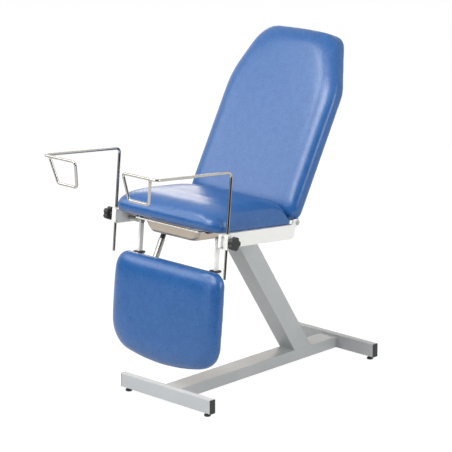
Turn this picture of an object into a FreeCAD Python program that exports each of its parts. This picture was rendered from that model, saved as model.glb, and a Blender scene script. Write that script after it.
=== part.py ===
import FreeCAD, Part
import math
import os

V = FreeCAD.Vector
os.makedirs("parts", exist_ok=True)

# Millimetres and degrees. X runs across to the patient's left, Y to the back, Z up.
# "Along" and "height" are the seat's own Y and Z, tilted with the seat.

# Base
BAR_LEN = 520.0
BAR_T = 30.0
BAR_H = 60.0
BAR_WALL = 2.5
BASE_LEN = 1060.0
FLOOR_GAP = 15.0
TUBE_R = 3.0
CAP_T = 3.0
PLUG_DEPTH = 14.0
BEAM_W = 90.0
BEAM_H = 50.0
BEAM_WALL = 3.0
FOOT_X = 230.0
FOOT_D = 28.0
FOOT_H = 8.0
STUD_D = 10.0
STUD_OVER = 4.0
BUSH_D = 18.0
BUSH_H = 18.0

# Column
COL_W = 90.0
COL_WALL = 3.0
COL_LEAN_DEG = 33.4
COL_HEAD_Y = 353.9629
HEAD_W = 200.0
HEAD_T = 10.0
HEAD_ALONG = (84.0, 222.0)

# Seat
PAD_W = 600.0
SEAT_Y = 256.0
SEAT_Z = 755.1
SEAT_TILT_DEG = 5.5
SEAT_FRONT = -275.0
SEAT_REAR = 196.0
SEAT_BOW = 9.0
# Layers of the seat pad from the board up: height, then how far the sides, the front
# and the rear are drawn in, and the radii of the front and rear corners
SEAT_LAYERS = (
    (0.0, 7.0, 22.0, 8.0, 60.0, 24.0),
    (7.0, 2.0, 12.0, 3.0, 64.0, 28.0),
    (16.0, 0.0, 4.0, 2.0, 68.0, 30.0),
    (26.0, 1.0, 0.0, 14.0, 72.0, 32.0),
    (38.0, 4.0, 1.0, 22.0, 76.0, 36.0),
    (50.0, 8.0, 6.0, 24.0, 80.0, 44.0),
    (62.0, 15.0, 14.0, 25.0, 86.0, 56.0),
    (74.0, 27.0, 27.0, 27.0, 92.0, 74.0),
    (83.0, 42.0, 43.0, 34.0, 98.0, 92.0),
    (90.0, 62.0, 64.0, 49.0, 104.0, 104.0),
    (94.2, 90.0, 96.0, 80.0, 108.0, 108.0),
    (97.2, 126.0, 136.0, 118.0, 92.0, 92.0),
    (98.6, 164.0, 176.0, 156.0, 64.0, 64.0),
)
BOARD_T = 12.0
BOARD_INSET = 30.0
RAIL_INSET = 6.0
RAIL_T = 10.0
RAIL_H = 60.0
RAIL_ALONG = (-242.0, 205.0)
RAIL_FRONT_R = 12.0
RAIL_REAR_R = 22.0
EAR_ALONG = (188.0, 196.0)
EAR_ROOT = -30.0
MEMBER_T = 30.0
MEMBER_WALL = 2.0
MEMBER_ALONG = (88.0, 172.0)

# Edge of the backrest's and the leg rest's pad: depth and draw-in where the cover turns under,
# then steps of the straight side and of the rolled edge, whose section is a rounded square
PAD_HEM = ((0.0, 7.0), (4.0, 2.5), (10.0, 0.4), (18.0, 0.0))
SIDE_STEP = 10.0
ROLL_STEPS = 9
ROLL_SQUARE = 2.2

# Backrest
HINGE_ALONG = 218.0
HINGE_HEIGHT = 7.0
HINGE_D = 12.0
HINGE_EAR_R = 14.0
BACK_LEAN_DEG = 28.7
BACK_REAR = 16.1
BACK_BOTTOM = 2.4
BACK_SHOULDER = 570.0
BACK_TOP = 812.0
BACK_TOP_W = 414.0
BACK_DEPTH = 76.8
# How far the pad's rolled edge reaches in over the face, and down the side
BACK_ROLL = (70.0, 36.0)
# At the board and at the face: rise of the top edge's arch, and the corners' radii
BACK_ARCH = (3.0, 14.0)
BACK_LOW_R = (45.0, 70.0)
BACK_SHOULDER_R = (143.0, 460.0)
BACK_TOP_R = (63.0, 150.0)
FRAME_T = 20.0
FRAME_W = 26.0
FRAME_WALL = 2.0
FRAME_SET_IN = 24.0
FRAME_Z = (30.0, 540.0)
FRAME_LOW_Z = (35.0, 65.0)
FRAME_HIGH_Z = (480.0, 510.0)
BRACKET_T = 9.0
BRACKET_R = 11.0
BRACKET_PLATE_T = 5.0
BRACKET_WING = 18.0
BRACKET_TOP = 120.0
BRACKET_HEEL_R = 8.0
PIN_HEAD_D = 20.0
PIN_HEAD_T = 3.0

# Leg rest, in the seat's along and height
PIVOT_ALONG = -162.45
PIVOT_HEIGHT = -42.0
PIVOT_D = 12.0
STUB_D = 20.0
STUB_WASHER_T = 2.0
LEG_REAR = -184.45
LEG_TOP = -171.2
LEG_BOTTOM = -599.2
LEG_BOTTOM_RISE = 46.0
LEG_DEPTH = 61.4
LEG_ROLL = (58.0, 32.0)
# At the board and at the face: bulge of the sides, and the corners' radii
LEG_BULGE = (4.0, 8.0)
LEG_TOP_R = (50.0, 90.0)
LEG_LOW_R = (96.0, 146.0)
ARM_X = 219.0
ARM_T = 10.0
ARM_W = 20.0
ARM_BOTTOM = -290.0
LEG_TUBE_W = 30.0
LEG_TUBE_DEPTH = 35.0
LEG_TUBE_WALL = 1.5
LEG_TUBE_H = (-545.0, -177.0)
LEG_CAP_H = 8.0
LEG_CAP_LIP = 2.5
LEG_CROSS_DEPTH = 20.0
LEG_CROSS_H = ((-239.0, -209.0), (-520.0, -490.0))

# Struts
PIN_D = 8.0
PIN_LEN = 42.0
EYE_R = 10.0
EYE_W = 22.0
CHEEK_GAP = 30.0
CHEEK_T = 5.0
ROD_END_D = 22.0
ROD_END_LEN = 25.0
ROD_END_REACH = 18.0
NECK_W = 14.0
TONGUE_W = 16.0
SINK = 2.0
END_WALL = 4.0
GROOVE_W = 2.0
GROOVE_DEPTH = 1.0
STRUT_ROD_D = 10.0
GUIDE_LEN = 9.0
PISTON_T = 4.0
LEG_STRUT_X = -154.0
LEG_STRUT_LOW = (-146.3, -224.0)
LEG_STRUT_HIGH = (-85.4, -71.7)
LEG_STRUT_D = 26.0
LEG_STRUT_BORE = 20.0
LEG_STRUT_TUBE = (14.0, 120.0)
LEG_STRUT_PISTON = 18.5
LEG_STRUT_GROOVE = 82.0
BACK_SPRING_Y = 575.0
BACK_SPRING_DROP = 315.1
BACK_SPRING_PIN = (58.0, 46.0)
BACK_SPRING_D = 28.0
BACK_SPRING_BORE = 22.0
BACK_SPRING_TUBE = (16.0, 200.0)
BACK_SPRING_PISTON = 182.0
BACK_SPRING_GROOVE = 40.0
# The open pivots sit in slots as long as the pin wanders over the travel.
SLOT_W = 13.5
SLOT_LEN = 12.4
LUG_LIP = 13.0
LUG_STAND = 2.0
LUG_PLATE_T = 5.0
WEB_SET_BACK = 19.0
WEB_GAP = 5.0
WEB_ROOT_W = (26.0, 60.0)
WEB_FOOT_LEN = 39.0
RAIL_MARGIN = 8.0
LEG_SLOT_RISE_DEG = 15.0
BACK_SLOT_FALL_DEG = 42.0

# Stirrups
POST_OUT = 14.4
POST_ALONG = -217.0
POST_BOTTOM = -182.5
POST_TOP = 251.0
ARM_REACH = 422.0
ROD_D = 12.0
POST_BEND_R = 20.0
LOOP_BEND_R = 14.0
LOOP_TOP_IN = 183.4
LOOP_LOW_IN = (169.4, 60.4)
LOOP_END_IN = 31.4
LOOP_DROP = 107.0
LOOP_SET_BACK = 30.0
CLAMP_W = 28.0
CLAMP_EDGE_R = 2.5
CLAMP_ALONG = (-228.0, -200.0)
CLAMP_FLANGE_T = 4.0
SLEEVE_D = 17.0
SLEEVE_FLANGE_D = 21.0
SLEEVE_FLANGE_T = 2.0
KNOB_D = 56.0
KNOB_T = 22.0
KNOB_STAND = 15.0
KNOB_LOBES = 5
KNOB_SCALLOP_D = 18.0
KNOB_SCALLOP_AT = 31.4
KNOB_LOBE_R = 4.0
KNOB_EDGE_R = 3.0
KNOB_STEM_D = 22.0
KNOB_STUD_D = 8.0
KNOB_HEIGHT = -30.0
SCREW_D = 5.0
SCREW_HEAD_D = 9.0
SCREW_HEAD_T = 2.5
SCREW_HEAD_R = 1.2
SCREW_ALONG = -235.0
SCREW_HEIGHTS = (-10.0, -50.0)

# Basin
BASIN_FRONT = -243.0
BASIN_L = 265.0
BASIN_W = 325.0
BASIN_TOP = -3.0
BASIN_RIM_T = 5.0
BASIN_RIM_W = 14.5
BASIN_DEPTH = 63.0
BASIN_DRAFT = 13.0
BASIN_SHEET = 1.2
BASIN_CORNER_R = 48.0
BASIN_FLOOR_R = 28.0
BASIN_RIM_R = 56.0
BASIN_CORNER_DRAFT = 6.0
WIRE_D = 8.0
WIRE_X = 188.0
WIRE_REAR = 75.0
WIRE_CROSS = 16.0
WIRE_BEND_R = 24.0
GUIDE_W = 24.0
GUIDE_H = 19.0
GUIDE_ALONG = ((-205.0, -175.0), (-140.0, -110.0))

# Clearances, on the radius or each side
RUN = 0.05
LOOSE = 0.1
GAP = 1.0
SOFT_R = 2.0

AXES = (V(1, 0, 0), V(0, 1, 0), V(0, 0, 1))
RAIL_IN = PAD_W / 2 - RAIL_INSET
RAIL_OUT = RAIL_IN + RAIL_T
BRACKET_X = (RAIL_IN - GAP - BRACKET_T, RAIL_IN - GAP)
CLAMP_X = (RAIL_OUT, RAIL_OUT + CLAMP_W)
POST_X = RAIL_OUT + POST_OUT
KNOB_X = CLAMP_X[1] + KNOB_STAND


def frame(origin, lean):
    """Frame at origin whose Z axis leans back by an angle."""
    return FreeCAD.Placement(origin, FreeCAD.Rotation(AXES[0], -lean))


def at(shape, place):
    moved = shape.copy()
    moved.Placement = place.multiply(moved.Placement)
    return moved


def mirrored(shape):
    return shape.mirror(V(0, 0, 0), AXES[0])


def fused(pieces):
    return pieces[0].multiFuse(pieces[1:]).removeSplitter()


def box(x, y, z):
    return Part.makeBox(x[1] - x[0], y[1] - y[0], z[1] - z[0], V(x[0], y[0], z[0]))


def rod(d, p, q):
    return Part.makeCylinder(d / 2, (q - p).Length, p, q - p)


def prism(points, direction):
    """Flat outline through the points, pushed out along a direction."""
    return Part.Face(Part.makePolygon(points + points[:1])).extrude(direction)


def edges_along(shape, axis):
    straight = [e for e in shape.Edges if isinstance(e.Curve, Part.Line)]
    return [e for e in straight if abs(e.Curve.Direction.dot(axis)) > 0.999999]


def rounded(shape, axis, corners):
    """Rounds the edge along the axis that is nearest to each corner point."""
    for spot, r in corners:
        def distance(edge):
            return (edge.Vertexes[0].Point - spot).cross(axis).Length
        nearest = min(edges_along(shape, axis), key=distance)
        shape = shape.makeFillet(r, [nearest])
    return shape


def tube(x, y, z, wall, axis):
    """Rectangular tube with rounded long edges, open at both ends."""
    spans = [x, y, z]
    body = box(*spans)
    body = body.makeFillet(TUBE_R, edges_along(body, AXES[axis]))
    inside = [(low + wall, high - wall) for low, high in spans]
    inside[axis] = spans[axis]
    return body.cut(box(*inside))


def outline_of(slab, axis, sign):
    """Rim of a slab's face that lies furthest against a direction."""
    return min(slab.Faces, key=lambda f: f.CenterOfMass.dot(axis) * sign).OuterWire


def pillow(rims):
    """Smooth cushion through a stack of rims."""
    return Part.makeLoft(rims, True, False)


def section(depth, roll):
    """Depth and draw-in at each step of a pad's edge, from its board to its face."""
    reach, drop = roll
    steps = list(PAD_HEM)
    straight = depth - drop - steps[-1][0]
    count = max(1, round(straight / SIDE_STEP))
    steps += [(depth - drop - straight * (count - k) / count, 0.0) for k in range(1, count)]
    for k in range(ROLL_STEPS + 1):
        turn = math.radians(90) * k / ROLL_STEPS
        rise = math.sin(turn) ** (2 / ROLL_SQUARE)
        draw = 1 - math.cos(turn) ** (2 / ROLL_SQUARE)
        steps.append((depth - drop + drop * rise, reach * draw))
    return steps


def layers(profile, *pairs):
    """Depth, draw-in and eased values, from the board's to the face's, at each step of a section."""
    rows = []
    for depth, inset in profile:
        share = depth / profile[-1][0]
        ease = share * share * (3 - 2 * share)
        rows.append([depth, inset] + [board + (face - board) * ease for board, face in pairs])
    return rows


def bent_rod(points, radii, d):
    """Round rod along a line of points, bent at each inner one."""
    pieces = []
    start = points[0]
    for corner, after, r in zip(points[1:], points[2:], radii):
        before_dir = (corner - start).normalize()
        after_dir = (after - corner).normalize()
        angle = before_dir.getAngle(after_dir)
        cut = r * math.tan(angle / 2)
        enter = corner - before_dir * cut
        leave = corner + after_dir * cut
        axis = before_dir.cross(after_dir).normalize()
        centre = enter + axis.cross(before_dir) * r
        disc = Part.Face(Part.Wire(Part.makeCircle(d / 2, enter, before_dir)))
        pieces.append(rod(d, start, enter))
        pieces.append(disc.revolve(centre, axis, math.degrees(angle)))
        start = leave
    pieces.append(rod(d, start, points[-1]))
    return pieces


def put(name, shape, place):
    at(shape, place).exportStep("parts/" + name + ".step")


def put_pair(name, shape, place):
    put("left_" + name, shape, place)
    put("right_" + name, mirrored(shape), place)


# Frames. The datum brings the middle of the whole length to Y = 0.
tilt = math.radians(SEAT_TILT_DEG)
loop_along = POST_ALONG - ARM_REACH
front_y = SEAT_Y + loop_along * math.cos(tilt) + POST_TOP * math.sin(tilt) - ROD_D / 2
datum = -(front_y + BASE_LEN) / 2
base = frame(V(0, datum, 0), 0)
seat = frame(V(0, SEAT_Y + datum, SEAT_Z), SEAT_TILT_DEG)
back = frame(seat.multVec(V(0, HINGE_ALONG, HINGE_HEIGHT)), BACK_LEAN_DEG)
beam_top = FLOOR_GAP + BEAM_H
column_foot_y = COL_HEAD_Y + (SEAT_Z - beam_top) * math.tan(math.radians(COL_LEAN_DEG))
column_frame = frame(V(0, column_foot_y + datum, beam_top), -COL_LEAN_DEG)

# Base: two crossbars on feet, joined by the beam
bar_half = BAR_LEN / 2
tube_half = bar_half - CAP_T
bar_z = (FLOOR_GAP, FLOOR_GAP + BAR_H)
stud_hole = STUD_D + 2 * RUN
bush_z = FLOOR_GAP + BAR_WALL
caps = []
bushes = []
for bar_name, y0 in (("front", 0.0), ("rear", BASE_LEN - BAR_T)):
    bar_y = (y0, y0 + BAR_T)
    mid_y = y0 + BAR_T / 2
    bar = tube((-tube_half, tube_half), bar_y, bar_z, BAR_WALL, 0)
    plug = (bar_y[0] + BAR_WALL, bar_y[1] - BAR_WALL), (bar_z[0] + BAR_WALL, bar_z[1] - BAR_WALL)
    head = box((tube_half, bar_half), bar_y, bar_z)
    head = head.makeFillet(TUBE_R, edges_along(head, AXES[0]))
    cap = head.fuse(box((tube_half - PLUG_DEPTH, tube_half), *plug)).removeSplitter()
    caps += [cap, mirrored(cap)]
    for side_name, x in (("left", FOOT_X), ("right", -FOOT_X)):
        hole = rod(stud_hole, V(x, mid_y, FLOOR_GAP), V(x, mid_y, bush_z + BUSH_H))
        bar = bar.cut(hole)
        bushes.append(rod(BUSH_D, V(x, mid_y, bush_z), V(x, mid_y, bush_z + BUSH_H)).cut(hole))
        disc = rod(FOOT_D, V(x, mid_y, 0), V(x, mid_y, FOOT_H))
        disc = disc.makeFillet(SOFT_R, [e for e in disc.Edges if isinstance(e.Curve, Part.Circle)])
        stud = rod(STUD_D, V(x, mid_y, FOOT_H), V(x, mid_y, bush_z + BUSH_H + STUD_OVER))
        put(bar_name + "_" + side_name + "_foot", disc.fuse(stud), base)
    put(bar_name + "_crossbar", bar, base)
put("crossbar_end_caps", Part.makeCompound(caps), base)
put("foot_bushes", Part.makeCompound(bushes), base)
beam_x = (-BEAM_W / 2, BEAM_W / 2)
beam = tube(beam_x, (BAR_T, BASE_LEN - BAR_T), (FLOOR_GAP, beam_top), BEAM_WALL, 1)
put("centre_beam", beam, base)

# Column, cut level with the beam below and with the seat above
column_x = (-COL_W / 2, COL_W / 2)
column = at(tube(column_x, column_x, (-SEAT_Z, 2 * SEAT_Z), COL_WALL, 2), column_frame)
far = 3 * SEAT_Z
under_beam_top = at(box((-far, far), (-far, far), (-far, beam_top)), base)
over_head = at(box((-far, far), (-far, far), (-RAIL_H, far)), seat)
put("column", column.cut(under_beam_top).cut(over_head), frame(V(0, 0, 0), 0))
head_h = (-RAIL_H, HEAD_T - RAIL_H)
put("column_head_plate", box((-HEAD_W / 2, HEAD_W / 2), HEAD_ALONG, head_h), seat)

# Seat frame: rails with a hinge ear, and two cross members on the head plate
for name, along in zip(("front", "rear"), MEMBER_ALONG):
    member = tube((-RAIL_IN, RAIL_IN), (along, along + MEMBER_T), (head_h[1], 0), MEMBER_WALL, 0)
    put("cross_member_" + name, member, seat)
rail = box((RAIL_IN, RAIL_OUT), RAIL_ALONG, (-RAIL_H, 0))
rail = rounded(rail, AXES[0], [(V(RAIL_IN, RAIL_ALONG[0], -RAIL_H), RAIL_FRONT_R),
                               (V(RAIL_IN, RAIL_ALONG[1], -RAIL_H), RAIL_REAR_R)])
ear_top = HINGE_HEIGHT + HINGE_EAR_R
ear_low = HINGE_HEIGHT - HINGE_EAR_R
ear_yz = [(EAR_ALONG[0], EAR_ROOT), (EAR_ALONG[0], 0), (HINGE_ALONG, ear_top), (HINGE_ALONG, ear_low),
          (EAR_ALONG[1], EAR_ROOT)]
ear = prism([V(RAIL_IN, y, z) for y, z in ear_yz], V(RAIL_T, 0, 0))
hinge_in = V(RAIL_IN, HINGE_ALONG, HINGE_HEIGHT)
hinge_out = V(RAIL_OUT, HINGE_ALONG, HINGE_HEIGHT)
rail = fused([rail, ear, rod(2 * HINGE_EAR_R, hinge_in, hinge_out)])
rail = rail.cut(rod(HINGE_D, hinge_in, hinge_out))
screws = []
for h in SCREW_HEIGHTS:
    tip = V(RAIL_IN, SCREW_ALONG, h)
    seatface = V(RAIL_OUT + CLAMP_FLANGE_T, SCREW_ALONG, h)
    rail = rail.cut(rod(SCREW_D, tip, seatface))
    screw_head = rod(SCREW_HEAD_D, seatface, seatface + V(SCREW_HEAD_T, 0, 0))
    rim = [e for e in screw_head.Edges if e.CenterOfMass.x > seatface.x + 0.1]
    screw_head = screw_head.makeFillet(SCREW_HEAD_R, rim[:1])
    screws.append(rod(SCREW_D, tip, seatface).fuse(screw_head))
put_pair("rail", rail, seat)
put("clamp_screws", Part.makeCompound(screws + [mirrored(s) for s in screws]), seat)
hinge_tip = V(BRACKET_X[0] - GAP, HINGE_ALONG, HINGE_HEIGHT)
pin = rod(HINGE_D, hinge_tip, hinge_out)
pin = pin.fuse(rod(PIN_HEAD_D, hinge_out, hinge_out + V(PIN_HEAD_T, 0, 0)))
put("back_hinge_pins", Part.makeCompound([pin, mirrored(pin)]), seat)


# Seat pad on its board
def seat_slab(z, side, front, rear, front_r, rear_r, thick):
    half = PAD_W / 2 - side
    nose = SEAT_FRONT + front
    a = V(-half, nose + SEAT_BOW, z)
    b = V(half, nose + SEAT_BOW, z)
    c = V(half, SEAT_REAR - rear, z)
    d = V(-half, SEAT_REAR - rear, z)
    edges = [Part.Arc(a, V(0, nose, z), b).toShape()]
    edges += [Part.makeLine(p, q) for p, q in ((b, c), (c, d), (d, a))]
    slab = Part.Face(Part.Wire(edges)).extrude(V(0, 0, thick))
    return rounded(slab, AXES[2], [(a, front_r), (b, front_r), (c, rear_r), (d, rear_r)])


def inner_board(layer, radii):
    """A pad's lowest layer, drawn in to the board's edge."""
    return [value + BOARD_INSET for value in layer] + [r - BOARD_INSET / 2 for r in radii]


seat_pad = pillow([outline_of(seat_slab(*layer, GAP), AXES[2], 1) for layer in SEAT_LAYERS])
lowest = SEAT_LAYERS[0]
seat_board = seat_slab(0.0, *inner_board(lowest[1:4], lowest[4:]), BOARD_T)
put("seat_board", seat_board, seat)
put("seat_pad", seat_pad.cut(seat_board), seat)


# Backrest, in a frame on the hinge axis: Y to its rear, Z up along it
def back_slab(depth, inset, arch, low_r, shoulder_r, top_r, thick):
    y = BACK_REAR - depth
    half = PAD_W / 2 - inset
    top_half = BACK_TOP_W / 2 - inset
    low = BACK_BOTTOM + inset
    high = BACK_TOP - inset
    right = [V(half, y, low), V(half, y, BACK_SHOULDER), V(top_half, y, high - arch)]
    left = [V(-p.x, p.y, p.z) for p in reversed(right)]
    ring = right + left
    edges = [Part.makeLine(p, q) for p, q in zip(ring, ring[1:] + ring[:1])]
    edges[2] = Part.Arc(right[2], V(0, y, high), left[0]).toShape()
    slab = Part.Face(Part.Wire(edges)).extrude(V(0, -thick, 0))
    radii = [r - inset / 2 for r in (low_r, shoulder_r, top_r)]
    corners = list(zip(right, radii)) + list(zip(reversed(left), radii))
    return rounded(slab, AXES[1], corners)


back_layers = layers(section(BACK_DEPTH, BACK_ROLL), BACK_ARCH, BACK_LOW_R, BACK_SHOULDER_R, BACK_TOP_R)
back_pad = pillow([outline_of(back_slab(*layer, GAP), AXES[1], -1) for layer in back_layers])
lowest = back_layers[0]
back_board = back_slab(0.0, lowest[1] + BOARD_INSET, *lowest[2:], BOARD_T)
put("backrest_board", back_board, back)
put("backrest_pad", back_pad.cut(back_board), back)
frame_y = (BACK_REAR, BACK_REAR + FRAME_T)
upright_x = (BRACKET_X[0] - FRAME_SET_IN - FRAME_W, BRACKET_X[0] - FRAME_SET_IN)
upright = tube(upright_x, frame_y, FRAME_Z, FRAME_WALL, 2)
rung_x = (-upright_x[0], upright_x[0])
rungs = [tube(rung_x, frame_y, z, FRAME_WALL, 0) for z in (FRAME_LOW_Z, FRAME_HIGH_Z)]
put("backrest_uprights", Part.makeCompound([upright, mirrored(upright)]), back)
put("backrest_cross_tubes", Part.makeCompound(rungs), back)
wing_y = frame_y[0] + GAP
wing_x = upright_x[1] + BRACKET_WING
wing_xz = [(upright_x[1], -BRACKET_R), (BRACKET_X[1], -BRACKET_R), (BRACKET_X[1], BRACKET_R),
           (wing_x, BRACKET_R + BRACKET_WING), (wing_x, BRACKET_TOP), (upright_x[1], BRACKET_TOP)]
wing = prism([V(x, wing_y, z) for x, z in wing_xz], V(0, BRACKET_PLATE_T, 0))
wing = rounded(wing, AXES[1], [(V(upright_x[1], wing_y, -BRACKET_R), BRACKET_HEEL_R),
                               (V(wing_x, wing_y, BRACKET_TOP), BRACKET_HEEL_R)])
plate = V(BRACKET_X[1] - BRACKET_X[0], 0, 0)
eye_in = V(BRACKET_X[0], 0, 0)
eye_plate = box(BRACKET_X, (0, wing_y + BRACKET_PLATE_T), (-BRACKET_R, BRACKET_R))
bracket = fused([wing, eye_plate, rod(2 * BRACKET_R, eye_in, eye_in + plate)])
bracket = bracket.cut(rod(HINGE_D + 2 * RUN, eye_in, eye_in + plate))
put_pair("backrest_bracket", bracket, back)


# Leg rest, hanging in the seat's own frame
def leg_slab(depth, inset, bulge, top_r, low_r, thick):
    y = LEG_REAR - depth
    half = PAD_W / 2 - inset
    end_half = half - bulge
    top = LEG_TOP - inset
    low = LEG_BOTTOM + inset
    corner = low + LEG_BOTTOM_RISE
    mid = (top + corner) / 2
    a = V(-end_half, y, top)
    b = V(end_half, y, top)
    c = V(end_half, y, corner)
    d = V(-end_half, y, corner)
    edges = [Part.makeLine(a, b), Part.Arc(b, V(half, y, mid), c).toShape(),
             Part.Arc(c, V(0, y, low), d).toShape(), Part.Arc(d, V(-half, y, mid), a).toShape()]
    slab = Part.Face(Part.Wire(edges)).extrude(V(0, -thick, 0))
    radii = [r - inset / 2 for r in (top_r, top_r, low_r, low_r)]
    return rounded(slab, AXES[1], list(zip((a, b, c, d), radii)))


leg_layers = layers(section(LEG_DEPTH, LEG_ROLL), LEG_BULGE, LEG_TOP_R, LEG_LOW_R)
leg_pad = pillow([outline_of(leg_slab(*layer, GAP), AXES[1], -1) for layer in leg_layers])
lowest = leg_layers[0]
leg_board = leg_slab(0.0, lowest[1] + BOARD_INSET, *lowest[2:], BOARD_T)
put("legrest_board", leg_board, seat)
put("legrest_pad", leg_pad.cut(leg_board), seat)
arm_x = (ARM_X - ARM_T / 2, ARM_X + ARM_T / 2)
arm_y = (PIVOT_ALONG - ARM_W / 2, PIVOT_ALONG + ARM_W / 2)
pivot_in = V(arm_x[0], PIVOT_ALONG, PIVOT_HEIGHT)
pivot_out = V(arm_x[1], PIVOT_ALONG, PIVOT_HEIGHT)
arm = box(arm_x, arm_y, (ARM_BOTTOM, PIVOT_HEIGHT)).fuse(rod(ARM_W, pivot_in, pivot_out))
arm = arm.removeSplitter().cut(rod(PIVOT_D + 2 * RUN, pivot_in, pivot_out))
put_pair("legrest_arm", arm, seat)
stub_x = [V(x, PIVOT_ALONG, PIVOT_HEIGHT) for x in
          (arm_x[0] - GAP - STUB_WASHER_T, arm_x[0] - GAP, arm_x[1] + GAP, RAIL_IN)]
stub = fused([rod(STUB_D, stub_x[0], stub_x[1]), rod(PIVOT_D, stub_x[1], stub_x[2]),
              rod(STUB_D, stub_x[2], stub_x[3])])
put("leg_pivot_stubs", Part.makeCompound([stub, mirrored(stub)]), seat)
leg_tube_x = (ARM_X - LEG_TUBE_W / 2, ARM_X + LEG_TUBE_W / 2)
leg_tube_y = (LEG_REAR, LEG_REAR + LEG_TUBE_DEPTH)
leg_tube = tube(leg_tube_x, leg_tube_y, LEG_TUBE_H, LEG_TUBE_WALL, 2)
cross_x = (-leg_tube_x[0], leg_tube_x[0])
cross_y = (LEG_REAR, LEG_REAR + LEG_CROSS_DEPTH)
leg_cross = [tube(cross_x, cross_y, h, FRAME_WALL, 0) for h in LEG_CROSS_H]
put("legrest_tubes", Part.makeCompound([leg_tube, mirrored(leg_tube)]), seat)
put("legrest_cross_tubes", Part.makeCompound(leg_cross), seat)
cap_z = (LEG_TUBE_H[1], LEG_TUBE_H[1] + LEG_CAP_H)
cap_head = box((leg_tube_x[0] - LEG_CAP_LIP, leg_tube_x[1] + LEG_CAP_LIP),
               (leg_tube_y[0], leg_tube_y[1] + LEG_CAP_LIP), cap_z)
cap_head = cap_head.makeFillet(SOFT_R, edges_along(cap_head, AXES[2]))
inner = LEG_TUBE_WALL + LOOSE
cap_plug = box((leg_tube_x[0] + inner, leg_tube_x[1] - inner),
               (leg_tube_y[0] + inner, leg_tube_y[1] - inner), (cap_z[0] - PLUG_DEPTH, cap_z[0]))
arm_slot = box((arm_x[0] - LOOSE, arm_x[1] + LOOSE), (arm_y[0] - LOOSE, arm_y[1] + LOOSE),
               (cap_z[0] - PLUG_DEPTH, cap_z[1]))
leg_cap = cap_head.fuse(cap_plug).removeSplitter().cut(arm_slot)
put("legrest_tube_caps", Part.makeCompound([leg_cap, mirrored(leg_cap)]), seat)


# Struts: a cylinder with an eye, a guide, a rod with a piston, and a rod end
def put_strut(name, place, length, d, bore, span, piston, groove, x):
    move = FreeCAD.Placement(V(x, 0, 0), FreeCAD.Rotation())
    place = place.multiply(move)
    low, high = span
    across = V(EYE_W / 2, 0, 0)
    eye = rod(2 * EYE_R, -across, across)
    neck = box((-EYE_W / 2, EYE_W / 2), (-NECK_W / 2, NECK_W / 2), (0, low + SINK))
    body = fused([eye, neck, rod(d, V(0, 0, low), V(0, 0, high))])
    body = body.cut(rod(bore, V(0, 0, low + END_WALL), V(0, 0, high)))
    body = body.cut(rod(PIN_D + 2 * RUN, -across, across))
    groove_low = V(0, 0, groove)
    groove_high = V(0, 0, groove + GROOVE_W)
    ring = rod(d + GAP, groove_low, groove_high)
    ring = ring.cut(rod(d - 2 * GROOVE_DEPTH, groove_low, groove_high))
    put(name + "_cylinder", body.cut(ring), place)
    guide_low = V(0, 0, high - GUIDE_LEN)
    guide = rod(bore, guide_low, V(0, 0, high))
    guide = guide.cut(rod(STRUT_ROD_D + 2 * RUN, guide_low, V(0, 0, high)))
    put(name + "_guide", guide, place)
    collar_top = length - ROD_END_REACH
    socket = V(0, 0, collar_top - END_WALL)
    piston_low = V(0, 0, piston)
    shaft = rod(STRUT_ROD_D, piston_low, socket)
    shaft = shaft.fuse(rod(bore - 2 * LOOSE, piston_low, V(0, 0, piston + PISTON_T)))
    put(name + "_rod", shaft.removeSplitter(), place)
    pin_at = V(0, 0, length)
    collar = rod(ROD_END_D, V(0, 0, collar_top - ROD_END_LEN), V(0, 0, collar_top))
    tongue = box((-EYE_W / 2, EYE_W / 2), (-TONGUE_W / 2, TONGUE_W / 2), (collar_top, length))
    end = fused([collar, tongue, rod(2 * EYE_R, pin_at - across, pin_at + across)])
    end = end.cut(rod(STRUT_ROD_D, V(0, 0, 0), socket))
    end = end.cut(rod(PIN_D, pin_at - across, pin_at + across))
    put(name + "_rod_end", end, place)
    half_pin = V(PIN_LEN / 2, 0, 0)
    put(name + "_lower_pin", rod(PIN_D, -half_pin, half_pin), place)
    put(name + "_upper_pin", rod(PIN_D, pin_at - half_pin, pin_at + half_pin), place)


def strut_frame(low, high):
    reach = high - low
    lean = math.degrees(math.atan2(reach.y, reach.z))
    return frame(low, lean), reach.Length


def cheeks(y, z, x_mid):
    """Two upright plates on either side of an eye."""
    inside = CHEEK_GAP / 2
    outside = inside + CHEEK_T
    pair = [(x_mid - outside, x_mid - inside), (x_mid + inside, x_mid + outside)]
    return [box(x, y, z) for x in pair]


def slot(y, z, angle, x_mid):
    """Round-ended slot from a pin's rest place towards an angle above the rear."""
    reach = V(0, math.cos(math.radians(angle)), math.sin(math.radians(angle))) * SLOT_LEN
    side = V(0, -reach.z, reach.y).normalize() * (SLOT_W / 2)
    near = V(x_mid - PIN_LEN, y, z)
    far_end = near + reach
    depth = V(2 * PIN_LEN, 0, 0)
    middle = prism([near - side, far_end - side, far_end + side, near + side], depth)
    return fused([middle, rod(SLOT_W, near, near + depth), rod(SLOT_W, far_end, far_end + depth)])


def pin_bore(y, z, x_mid):
    return rod(PIN_D, V(x_mid - PIN_LEN, y, z), V(x_mid + PIN_LEN, y, z))


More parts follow.
